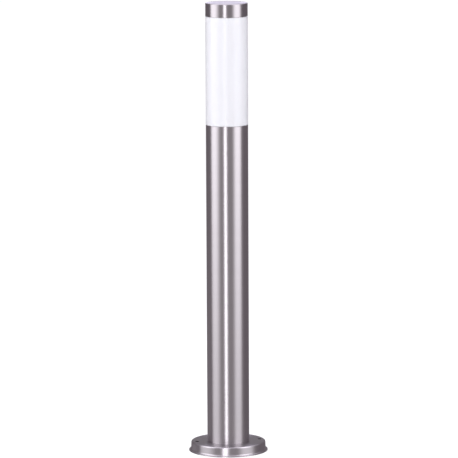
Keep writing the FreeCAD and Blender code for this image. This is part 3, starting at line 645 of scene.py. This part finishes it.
# %% Soft box tool
LAMP_WHITE = (0.97, 0.97, 1.005)
DIM_BELOW = 0.0         # heights between which a soft box goes from dim to full, in metres
FULL_ABOVE = 0.70
CROWN_FROM = 0.85       # and the heights over which it goes to its crown
CROWN_FULL = 1.25
ROOM_LOW = -0.9         # how far down and up the tall boxes reach
ROOM_HIGH = 2.4


def soft_box(name, left_deg, right_deg, distance, radiance, low=ROOM_LOW, high=ROOM_HIGH,
             left_fade=0.02, right_fade=0.02, foot=1.0, crown=1.0, tint=LAMP_WHITE):
    """An upright panel between two directions, in degrees right of the camera.

    The fades are the shares of its width over which a side dims to nothing. Foot and crown
    are how bright its lower and its uppermost part are beside the middle.
    """
    middle = math.radians((left_deg + right_deg) / 2)
    half = math.radians((right_deg - left_deg) / 2)
    light = bpy.data.lights.new(name, "AREA")
    light.shape = "RECTANGLE"
    light.size = 2 * distance * math.tan(half)
    light.size_y = high - low
    light.color = tint
    light.energy = radiance * math.pi * light.size * light.size_y
    light.use_nodes = True
    tree = light.node_tree
    tree.nodes.clear()
    panel = add(tree, "ShaderNodeNewGeometry").outputs["Parametric"]
    across = add(tree, "ShaderNodeSeparateXYZ", Vector=panel)
    left = add(tree, "ShaderNodeMapRange", SMOOTH, _0=across.outputs["X"], _2=left_fade)
    right = add(tree, "ShaderNodeMapRange", SMOOTH, _0=across.outputs["X"], _1=1.0,
                _2=1.0 - right_fade)
    bottom = add(tree, "ShaderNodeMapRange", SMOOTH, _0=across.outputs["Y"],
                 _1=(DIM_BELOW - low) / (high - low), _2=(FULL_ABOVE - low) / (high - low),
                 _3=foot)
    top = add(tree, "ShaderNodeMapRange", SMOOTH, _0=across.outputs["Y"],
              _1=(CROWN_FROM - low) / (high - low), _2=(CROWN_FULL - low) / (high - low),
              _3=1.0, _4=crown)
    sides = add(tree, "ShaderNodeMath", {"operation": "MULTIPLY"}, _0=left.outputs[0],
                _1=right.outputs[0])
    heights = add(tree, "ShaderNodeMath", {"operation": "MULTIPLY"}, _0=bottom.outputs[0],
                  _1=top.outputs[0])
    whole = add(tree, "ShaderNodeMath", {"operation": "MULTIPLY"}, _0=sides.outputs[0],
                _1=heights.outputs[0])
    glow = add(tree, "ShaderNodeEmission", Strength=whole.outputs[0])
    add(tree, "ShaderNodeOutputLight", Surface=glow.outputs[0])
    lamp = new_object(name, light)
    outward = to_camera * math.cos(middle) + to_right * math.sin(middle)
    stand(lamp, outward * distance + UP * (low + high) / 2, UP.cross(outward), UP, outward)
    lamp.visible_camera = False
    print(name, "width", round(light.size, 2), "power", round(light.energy, 1))


# %% Soft boxes
COOL_WHITE = (0.95, 0.93, 1.14)
soft_box("left soft box", -100, -36, 1.3, 2.1, left_fade=0.2, right_fade=0.5, foot=0.20,
         crown=0.55)
soft_box("right soft box", 28, 88, 1.3, 2.1, left_fade=0.4, right_fade=0.3, foot=0.20,
         crown=0.55)
soft_box("strip beside the camera", -17, -2, 1.6, 2.4, left_fade=0.1, right_fade=0.1)
soft_box("panel behind the cap", 168, 192, 1.5, 1.35, low=0.90, tint=COOL_WHITE)
soft_box("low card on the left", -150, -104, 1.6, 0.10, high=0.0, left_fade=0.2,
         right_fade=0.3)
soft_box("low card behind the foot", 172, 188, 1.5, 0.17, low=-0.1, high=0.5, left_fade=0.3,
         right_fade=0.3)

# %% [markdown]
# The opal head and the floor need light that the steel must not mirror. Three broad fills
# give it. They stay out of the mirror reflections.


# %% Fills
FILL_ANGLE = math.radians(40)   # how wide a fill looks from the post: shadows have no edge


def fill(name, right_deg, up_deg, strength, tint):
    """Even light from a direction, in degrees right of the camera and above the ground."""
    lamp = new_object(name, bpy.data.lights.new(name, "SUN"))
    lamp.data.energy = strength
    lamp.data.angle = FILL_ANGLE
    lamp.data.color = tint
    right = math.radians(right_deg)
    up = math.radians(up_deg)
    level_part = to_camera * math.cos(right) + to_right * math.sin(right)
    source = level_part * math.cos(up) + UP * math.sin(up)
    lamp.matrix_world = source.to_track_quat("Z", "Y").to_matrix().to_4x4()
    lamp.visible_glossy = False
    print(name, "strength", strength)


NEAR_WHITE = (1.0, 0.985, 1.01)
fill("fill from the front", -12, 30, 0.90, NEAR_WHITE)
fill("fill from the right", 122, 25, 0.32, (0.97, 0.95, 1.08))
fill("fill from behind", -160, 40, 0.90, NEAR_WHITE)

# %% [markdown]
# A flat panel over the head, mostly behind it, puts the thin bright line on the front edge
# of the cap and on the two sides of the foot's upper edge. The post hides it from the
# middle of that edge.

# %% Panel overhead
PANEL_WIDTH = 2.6
PANEL_DEPTH = 1.8
PANEL_BEHIND = 0.55
PANEL_HEIGHT = 1.75
PANEL_RADIANCE = 0.5
overhead_light = bpy.data.lights.new("panel overhead", "AREA")
overhead_light.shape = "RECTANGLE"
overhead_light.size = PANEL_WIDTH
overhead_light.size_y = PANEL_DEPTH
overhead_light.color = (0.97, 0.95, 1.05)
overhead_light.energy = PANEL_RADIANCE * math.pi * PANEL_WIDTH * PANEL_DEPTH
overhead = new_object("panel overhead", overhead_light)
stand(overhead, UP * PANEL_HEIGHT - to_camera * PANEL_BEHIND, to_right, -to_camera, UP)
overhead.visible_camera = False
print("panel overhead, power", round(overhead_light.energy, 1))

# %% [markdown]
# The room beyond the lamps is a world shader. A direction's share towards the camera picks
# its tone: mid grey in front, darker at the sides and behind. The ceiling is pale, and
# shows in flat tops seen from above. Matt surfaces get an even soft light from the room
# instead, so that the opal head is white on every side, and the camera itself sees plain
# white paper.

# %% Room
DARK_ROOM = (0.175, 0.155, 0.17, 1)
GREY_ROOM = (0.29, 0.27, 0.28, 1)
CEILING = (0.66, 0.64, 0.70, 1)
SOFT_ROOM = (0.42, 0.415, 0.44, 1)
WHITE = (1, 1, 1, 1)
DARK_UP_TO = 0.38       # a direction's share: 0 away from the camera, 1 towards it
GREY_FROM = 0.56
CEILING_FROM = 0.4      # how far up a direction points where the ceiling starts and is full
CEILING_FULL = 0.9

world = bpy.data.worlds.new("studio room")
bpy.context.scene.world = world
world.use_nodes = True
room = world.node_tree
room.nodes.clear()
direction = add(room, "ShaderNodeTexCoord").outputs["Generated"]
facing = add(room, "ShaderNodeVectorMath", {"operation": "DOT_PRODUCT"}, _0=direction,
             _1=tuple(to_camera))
toward = add(room, "ShaderNodeMapRange", _0=facing.outputs["Value"], _1=-1.0, _2=1.0)
tones = add(room, "ShaderNodeValToRGB", Fac=toward.outputs[0])
ramp = tones.color_ramp
ramp.elements[0].position = DARK_UP_TO
ramp.elements[0].color = DARK_ROOM
ramp.elements[1].position = GREY_FROM
ramp.elements[1].color = GREY_ROOM
height = add(room, "ShaderNodeSeparateXYZ", Vector=direction)
ceiling = add(room, "ShaderNodeMapRange", SMOOTH, _0=height.outputs["Z"], _1=CEILING_FROM,
              _2=CEILING_FULL)
whole_room = add(room, "ShaderNodeMix", COLOURS, _0=ceiling.outputs[0],
                 _6=tones.outputs["Color"], _7=CEILING)
path = add(room, "ShaderNodeLightPath")
room_light = add(room, "ShaderNodeBackground", Color=whole_room.outputs[2], Strength=1.0)
soft_light = add(room, "ShaderNodeBackground", Color=SOFT_ROOM, Strength=1.0)
paper = add(room, "ShaderNodeBackground", Color=WHITE, Strength=1.0)
unseen = add(room, "ShaderNodeMixShader", _0=path.outputs["Is Diffuse Ray"],
             _1=room_light.outputs[0], _2=soft_light.outputs[0])
choice = add(room, "ShaderNodeMixShader", _0=path.outputs["Is Camera Ray"],
             _1=unseen.outputs[0], _2=paper.outputs[0])
add(room, "ShaderNodeOutputWorld", Surface=choice.outputs[0])
print("room shader nodes", len(room.nodes))

# %% [markdown]
# The floor is matt grey and gives light of its own, so that it meets the white paper
# behind it without a line.

# %% Floor
FLOOR_REACH = 12.0
FLOOR_GLOW = 0.80
floor_shape = bmesh.new()
bmesh.ops.create_grid(floor_shape, x_segments=1, y_segments=1, size=FLOOR_REACH)
floor = mesh_object("floor", floor_shape)
floor_paint, floor_tree, floor_shader = new_material("pale matt floor")
floor_shader.inputs["Base Color"].default_value = linear("929292")
floor_shader.inputs["Roughness"].default_value = 0.9
floor_shader.inputs["Emission Color"].default_value = WHITE
floor_shader.inputs["Emission Strength"].default_value = FLOOR_GLOW
floor_shader.inputs["Specular IOR Level"].default_value = 0.0
floor.data.materials.append(floor_paint)
floor.visible_glossy = False
floor.visible_diffuse = False
print("floor is", 2 * FLOOR_REACH, "m wide")

# %% [markdown]
# The floor is left out of mirror reflections, so without something under it the inside of
# the foot would look lit from below, through the anchor holes. A dark disc just under the
# floor gives it the shade that it has when it stands on the ground.

# %% Shaded ground under the foot
SHADE_R = 66.0          # inside the foot's wall
SHADE_DEPTH = 0.5
shade_shape = bmesh.new()
bmesh.ops.create_circle(shade_shape, cap_ends=True, segments=96, radius=SHADE_R * MM,
                        matrix=Matrix.Translation((0, 0, -SHADE_DEPTH * MM)))
shade = mesh_object("shaded_ground", shade_shape)
shade_paint, shade_tree, shade_shader = new_material("ground in shade")
shade_shader.inputs["Base Color"].default_value = linear("202020")
shade_shader.inputs["Roughness"].default_value = 1.0
shade.data.materials.append(shade_paint)
print("shaded ground, radius", SHADE_R, "mm")

# %% [markdown]
# The Standard view transform leaves the white of the paper and the opal head as it is. A
# film-like one would turn both grey.

# %% View transform
bpy.context.scene.view_settings.view_transform = "Standard"
